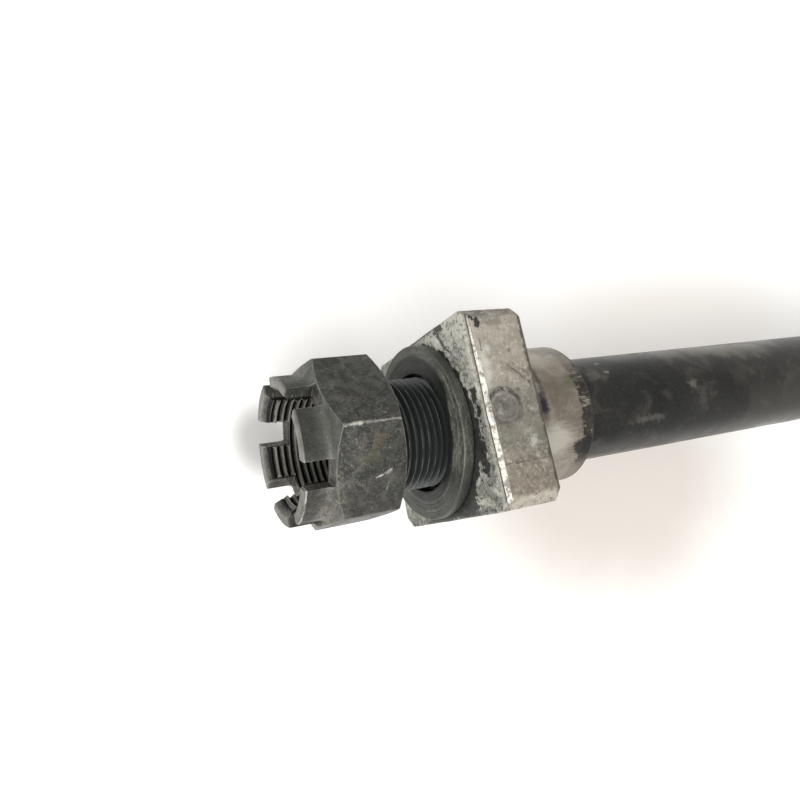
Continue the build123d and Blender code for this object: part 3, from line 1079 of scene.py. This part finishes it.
def paint_front(bench, at, colour, front):
    """Pale skin with grey clouds, pits, short cuts and patches."""
    place, across = at["Place"], at["Across"]
    clouds = bench.noise(place, 4.0, 6.0, 0.68, 0.5)
    clouds = bench.minus(clouds, bench.times(across, 0.005))
    pits = bench.patches(place, 1.0, 5.0, 0.75, 0.525, 0.6)
    cuts = bench.mask(scratches, place, Turn=(0.4, 0.0, -1.571), Length=1.6, Width=0.2,
                      Amount=1.2)
    colour = bench.over(colour, (202, 202, 191), front, 0.85)
    colour = bench.over(colour, (112, 113, 106), front, bench.ramp(clouds, 0.46, 0.6), 0.75)
    colour = bench.over(colour, (62, 62, 56), front, pits, 0.75)
    colour = bench.over(colour, (64, 65, 61), front, cuts, bench.ramp(across, -2.0, -10.0), 0.8)
    fine = bench.patches(place, 0.7, 4.0, 0.7, 0.42, 0.58, 0.3, 1.0)
    return stains(bench, place, colour, (
        ((224, 223, 214), on_front(16.6, 11.0), (1.0, 1.9, 1.8), 0.9),
        ((205, 205, 194), on_front(14.6, 18.6), (1.0, 3.2, 2.6), 0.6),
        ((86, 86, 81), on_front(12.2, 17.8), (1.0, 3.4, 1.8), 0.75),
        ((104, 104, 98), on_front(8.6, 19.4), (1.0, 2.4, 1.4), 0.6),
        ((222, 221, 212), on_front(-3.7, 20.0), (1.0, 0.9, 0.7), 0.9)),
        front, fine, Softness=0.5, Raggedness=1.1, Lump_Size=1.1)


def block_grease(bench, at, front, from_side):
    """Where black grease is: round the washer, in patches and veins, and along the low edge."""
    place, across = at["Place"], at["Across"]
    flat = bench.vector("MULTIPLY", bench.vector("SUBTRACT", place, (0.0, 0.0, washer_z)),
                        (0.0, 1.0, 1.0))
    lumps = bench.noise(place, 3.0, 5.0, 0.65)
    beside = bench.plus(bench.vector("LENGTH", flat), bench.times(lumps, -6.0))
    below = bench.ramp(across, 6.0, 1.0, 0.0, 1.0)
    reach = bench.plus(washer_radius - 2.9, bench.times(below, 1.4))
    masks = [bench.times(bench.ramp(bench.minus(beside, reach), 0.2, -0.2), front)]
    for centre, size, ragged in ((on_front(-18.0, 9.5), (2.0, 4.2, 5.2), 0.9),
                                 (on_front(-8.5, 19.2), (2.0, 5.5, 1.7), 0.9),
                                 (on_front(3.2, 20.4), (1.0, 1.9, 1.0), 1.7),
                                 (on_front(-0.8, 20.7), (1.0, 2.0, 0.9), 1.7),
                                 (on_front(19.5, 12.2), (1.5, 1.3, 1.8), 1.5),
                                 (on_top(-144.7, 16.8), (0.7, 1.4, 1.0), 0.9),
                                 ((-145.6, 18.2, 23.2), (0.4, 1.0, 1.0), 0.9)):
        masks.append(bench.mask(mark, place, Centre=centre, Size=size, Softness=0.25,
                                Raggedness=ragged, Lump_Size=1.1))
    masks += strokes(bench, place, ((on_front(19.5, 11.0), on_front(14.9, 13.4), 0.85),
                                    (on_front(14.9, 13.4), on_front(13.2, 15.4), 0.45),
                                    (on_front(20.1, -2.0), on_front(20.1, 12.5), 1.0)), 0.35)
    masks.append(bench.times(bench.ramp(from_side, 1.8, 0.3), front,
                             bench.patches(place, 1.3, 5.0, 0.7, 0.47, 0.55)))
    return bench.either(*masks)


def paint_scratches(bench, place, colour):
    """Single scratches and a pale scuff, most of them in the pushed face."""
    thin = strokes(bench, place, ((on_top(-139.9, 7.8), on_top(-135.5, 3.8), 0.28),
                                  (on_top(-138.6, 8.0), on_top(-135.1, 5.2), 0.2),
                                  (on_top(-144.9, 13.4), on_top(-145.0, 11.2), 0.3),
                                  (on_top(-145.5, -11.5), on_top(-140.4, -11.6), 0.26),
                                  (on_top(-140.4, -11.6), on_top(-134.2, -11.4), 0.18),
                                  (on_top(-134.9, -11.4), on_top(-134.2, -11.4), 0.5),
                                  (on_front(-18.3, 23.2), on_front(-20.4, 21.4), 0.24)), 0.5)
    colour = bench.over(colour, (80, 68, 62), bench.either(*thin), 0.75)
    scuff = bench.mask(mark, place, Centre=on_top(-137.6, -8.0), Size=(1.3, 1.5, 1.0),
                       Softness=0.8, Raggedness=0.9, Lump_Size=0.6)
    return bench.over(colour, (192, 191, 188), scuff, 0.7)


def paint_worn_strip(bench, at, colour, from_front, from_top, wander):
    """The bright strip worn into the top edge beside a dark seam: colour and where it is."""
    place, across = at["Place"], at["Across"]
    lean = bench.plus(bench.minus(from_front, from_top), bench.times(wander, 0.35))
    beside_edge = bench.ramp(bench.plus(from_front, from_top), 2.6, 2.3)
    seam = bench.times(bench.ramp(lean, -0.4, -0.2), bench.ramp(lean, 0.15, -0.02), beside_edge,
                       bench.ramp(bench.noise(place, 2.2, 3.0), 0.3, 0.45, 0.4, 1.0))
    colour = bench.over(colour, (58, 57, 52), seam, 0.85)
    width = bench.ramp(across, 17.0, 2.0, 0.6, 1.6)
    strip = bench.times(bench.ramp(lean, 0.0, 0.15), beside_edge,
                        bench.ramp(bench.minus(width, lean), -0.05, 0.1),
                        bench.ramp(across, 18.5, 13.0, 0.25, 1.0))
    flecks = bench.noise(place, 1.2, 4.0, 0.65)
    bright = bench.paint(bench.ramp(flecks, 0.46, 0.62), srgb(240, 238, 229), srgb(150, 147, 138))
    return bench.paint(bench.times(strip, 0.95), colour, bright), strip


def paint_block_edges(bench, at, colour, from_side, from_top, wander, specks):
    """Rubbed chamfers and edges, and a brown rim along the back."""
    place = at["Place"]
    chamfer = bench.ramp(bench.plus(from_side, from_top), 2.75, 2.4)
    rubbed = bench.patches(place, 1.2, 4.0, 0.65, 0.62, 0.4, 0.35, 1.0)
    colour = bench.over(colour, (192, 186, 172), chamfer, rubbed, 0.5)
    colour = bench.over(colour, (84, 76, 60), chamfer, specks, 0.9)
    worn = bench.mask(edge_wear, place, Width=0.6, Raggedness=0.8)
    colour = bench.over(colour, (214, 210, 201), worn, 0.3)
    from_back = bench.minus(block_high.x, at["Along"])
    rim = bench.plus(from_back, bench.times(wander, 2.4))
    near_top = bench.ramp(from_top, 0.9, 0.6)
    colour = bench.over(colour, (104, 94, 80), near_top, bench.ramp(rim, 1.9, 0.7), 0.4)
    return bench.over(colour, (66, 60, 52), near_top, bench.ramp(rim, 1.3, 0.8), 0.75)


def make_block_finish():
    """The block's cast metal."""
    material, bench, shader, at = new_finish("block_cast_metal")
    place = at["Place"]
    from_front = bench.minus(at["Along"], block_low.x)
    from_top = bench.minus(block_high.z, at["Up"])
    from_side = bench.minus(at["Across"], block_low.y)
    top = bench.ramp(from_top, 0.5, 0.15)
    front = bench.ramp(from_front, 0.5, 0.15)
    wander = bench.minus(bench.noise(place, 2.0, 4.0, 0.6), 0.5)
    specks = bench.patches(place, 1.1, 5.0, 0.75, 0.54, 0.66)
    folds = bench.noise(place, 3.4, 6.0, 0.62, 1.2)
    skin = bench.place(mottle, Place=place, Patch_Size=3.5, Speck_Size=0.7, Specks=0.6,
                       Dark=srgb(120, 115, 105), Middle=srgb(166, 159, 147),
                       Pale=srgb(212, 208, 198))
    colour = paint_push_face(bench, at, skin["Colour"], top, wander, specks)
    colour = paint_imprint(bench, at, colour, top)
    colour = paint_front(bench, at, colour, front)
    grease = block_grease(bench, at, front, from_side)
    colour = bench.over(colour, black_grease, grease, 0.93)
    colour = paint_scratches(bench, place, colour)
    colour, strip = paint_worn_strip(bench, at, colour, from_front, from_top, wander)
    colour = paint_block_edges(bench, at, colour, from_side, from_top, wander, specks)

    roughness = bench.ramp(bench.either(strip, bench.times(grease, 0.8)), 0.0, 1.0, 0.6, 0.36)
    metallic = bench.ramp(grease, 0.0, 1.0, 0.35, 0.0)
    height = bench.plus(bench.times(skin["Grain"], 0.5), bench.times(folds, 0.5))
    dress(bench, shader, colour, roughness, metallic, height, 0.12, dull_gloss)
    return material


# The spacer: warm grey turned steel, stained, with painted shadow beside the block, its far end
# greasy and scratched

def make_spacer_finish():
    """The spacer's steel. Its stains and painted shadows are placed by X and by their angle around
    the tube.
    """
    material, bench, shader, at = new_finish("spacer_steel")
    place, along, angle = at["Place"], at["Along"], at["Angle"]
    skin = bench.place(mottle, Place=place, Patch_Size=6.0, Speck_Size=0.8, Specks=0.25,
                       Dark=srgb(112, 104, 93), Middle=srgb(138, 130, 118),
                       Pale=srgb(172, 166, 154))
    unrolled = bench.joined(along, angle)
    colour = stains(bench, unrolled, skin["Colour"], [
        (tint, (x, turn, 0.0), (length, width, 1.0), amount)
        for tint, x, turn, length, width, amount in (
            ((196, 191, 180), -125.0, 119.0, 7.5, 20.0, 0.65),
            ((186, 180, 168), -124.0, 48.0, 6.0, 16.0, 0.5),
            ((92, 86, 73), -122.0, 80.0, 7.0, 20.0, 0.6),
            # Painted shadow: two dark strips along the block's back edge
            ((62, 64, 54), -127.0, 68.0, 1.1, 18.0, 0.8),
            ((40, 32, 44), -127.6, 91.0, 1.9, 17.0, 1.0),
            ((90, 93, 70), -118.2, 74.0, 2.6, 12.0, 0.8),
            ((34, 32, 28), -115.2, 60.5, 0.7, 4.0, 1.0),
            ((34, 32, 28), -115.4, 68.0, 0.9, 3.5, 1.0),
            ((34, 32, 28), -115.8, 79.0, 0.8, 4.0, 0.9),
            # Brown patches, darkened as painted shadow beside the block
            ((90, 80, 70), -130.0, 50.0, 2.4, 12.0, 0.5))],
        Softness=0.8, Raggedness=0.3, Lump_Size=4.0)

    # Far end: grease with scratches that run along the axle
    lumps = bench.noise(bench.vector("MULTIPLY", unrolled, (0.3, 0.06, 1.0)), 1.0, 4.0, 0.65)
    hairs = bench.noise(bench.vector("MULTIPLY", unrolled, (0.22, 0.7, 1.0)), 1.0, 4.0, 0.7)
    clumps = bench.noise(bench.vector("MULTIPLY", unrolled, (0.4, 0.16, 1.0)), 1.0, 3.0, 0.6)
    ragged = bench.plus(bench.plus(along, bench.times(lumps, 5.0)), bench.times(hairs, 2.6))
    band = bench.times(bench.ramp(ragged, -114.8, -113.8),
                       bench.ramp(angle, 152.0, 136.0, 0.4, 1.0),
                       bench.ramp(angle, 56.0, 76.0, 0.3, 1.0))
    end = bench.paint(bench.ramp(lumps, 0.42, 0.62), srgb(22, 21, 20), srgb(56, 49, 42))
    bare = bench.times(bench.ramp(hairs, 0.49, 0.6), bench.ramp(clumps, 0.44, 0.58))
    end = bench.over(end, (172, 167, 156), bare, 0.7)
    colour = bench.paint(bench.times(band, 0.95), colour, end)
    rim = bench.plus(along, bench.times(hairs, 0.8))
    colour = bench.over(colour, (58, 51, 44), bench.ramp(rim, -114.9, -114.4), 0.8)
    black = bench.mask(mark, unrolled, Centre=(-116.2, 128.0, 0.0), Size=(4.2, 9.5, 1.0),
                       Softness=0.3, Raggedness=0.4, Lump_Size=2.2)
    colour = bench.over(colour, black_grease, black, 0.93)
    worn = bench.mask(edge_wear, place, Width=0.3, Raggedness=0.7)
    colour = bench.over(colour, bare_steel, worn, 0.5)

    rings = bench.rings(along, 0.18)
    roughness = bench.ramp(band, 0.0, 1.0, 0.36, 0.5)
    height = bench.plus(bench.times(rings, 0.7), bench.times(skin["Grain"], 0.3))
    dress(bench, shader, colour, roughness, 0.6, height, 0.01)
    return material


done(make_shaft(), "axle", "axle_shaft", make_shaft_finish())
done(make_nut(), "nut", "castle_nut", make_nut_finish())
done(make_washer(), "washer", "washer", make_washer_finish())
done(make_block(), "block", "adjuster_block", make_block_finish())
done(make_spacer(), "spacer", "wheel_spacer", make_spacer_finish())


# Floor, light and camera

floor_half = 3000  # millimetres
floor_tint = (237, 237, 236)
floor_glow = 0.43
window_side = (-0.30, -0.90, 0.31)
room_dim = 0.42
room_bright = 0.9


def seen_lit(bench):
    """Whether the camera, gloss or glass looks here, which then see it lit up."""
    path = bench.add("LightPath", {}).outputs
    return bench.either(path["Is Camera Ray"], path["Is Glossy Ray"],
                        path["Is Transmission Ray"])


def make_floor_finish():
    """White, with painted shadows that make it greyer and warmer in places."""
    material, bench, shader, at = new_finish("floor_white")
    tone = srgb(*floor_tint)
    # Painted shadows on the floor: a warm one on the -Y side of the shaft, a grey one on its +Y
    # side, and a darker one under the nut's end
    for tint, centre, size in (((176, 165, 154), (-80.0, -20.0, bench_z), (76.0, 46.0, 1.0)),
                               ((214, 208, 201), (-40.0, 26.0, bench_z), (75.0, 24.0, 1.0)),
                               ((118, 117, 114), (-179.0, 6.0, bench_z), (10.0, 12.0, 1.0))):
        shade = bench.mask(mark, at["Place"], Centre=centre, Size=size, Softness=0.7,
                           Raggedness=0.1, Lump_Size=40.0)
        tone = bench.over(tone, tint, shade)
    bench.feed(shader.inputs["Base Color"], tone)
    shader.inputs["Roughness"].default_value = 0.9
    bench.feed(shader.inputs["Emission Color"], srgb(255, 253, 250))
    bench.feed(shader.inputs["Emission Strength"], bench.times(seen_lit(bench), floor_glow))
    return material


def make_floor():
    """A large pale floor under the axle."""
    corners = [(-floor_half, -floor_half, bench_z), (floor_half, -floor_half, bench_z),
               (floor_half, floor_half, bench_z), (-floor_half, floor_half, bench_z)]
    floor = new_piece("floor", corners, [[0, 1, 2, 3]])
    floor.data.transform(Matrix.Scale(MM, 4))
    floor.data.materials.append(make_floor_finish())


def make_window(place, target, size, watts):
    """A square soft lamp in millimetres, turned to a point."""
    lamp = bpy.data.lights.new("window", "AREA")
    lamp.size = size * MM
    lamp.energy = watts
    thing = bpy.data.objects.new("window", lamp)
    bpy.context.scene.collection.objects.link(thing)
    place, target = Vector(place), Vector(target)
    thing.location = place * MM
    thing.rotation_euler = (target - place).to_track_quat("-Z", "Y").to_euler()


def make_world():
    """A pale room, brighter on the side of its window. The camera and gloss see it white."""
    world = bpy.data.worlds.new("studio")
    bpy.context.scene.world = world
    world.use_nodes = True
    bench = Bench(world.node_tree)
    direction = bench.add("TexCoord", {}).outputs["Generated"]
    towards = bench.vector("DOT_PRODUCT", direction, window_side)
    room = bench.ramp(towards, -0.4, 0.9, room_dim, room_bright)
    background = world.node_tree.nodes["Background"]
    background.inputs["Color"].default_value = (1.0, 0.99, 0.97, 1)
    bench.feed(background.inputs["Strength"], bench.either(room, seen_lit(bench)))


def make_camera():
    """The camera, where the photograph was taken from: measured from the nut and the block."""
    camera = bpy.data.cameras.new("camera")
    camera.sensor_width = 36
    camera.lens = 30.465
    camera.clip_start = 0.01
    thing = bpy.data.objects.new("camera", camera)
    right = Vector((0.8902, -0.1983, 0.4101)).normalized()
    forward = Vector((0.4431, 0.168, -0.8806))
    up = right.cross(forward).normalized()
    forward = up.cross(right)
    turn = Matrix((right, up, -forward)).transposed().to_4x4()
    from_tip = Vector((-53.06, -17.28, 130.6))
    place = Vector((tip_x, 0, 0)) + from_tip
    thing.matrix_world = Matrix.Translation(place * MM) @ turn
    bpy.context.scene.collection.objects.link(thing)
    bpy.context.scene.camera = thing


make_floor()
make_window(place=(-420, -330, 380), target=(-140, 0, 0), size=420, watts=2.4)
make_world()
make_camera()
bpy.context.scene.view_settings.view_transform = "Standard"
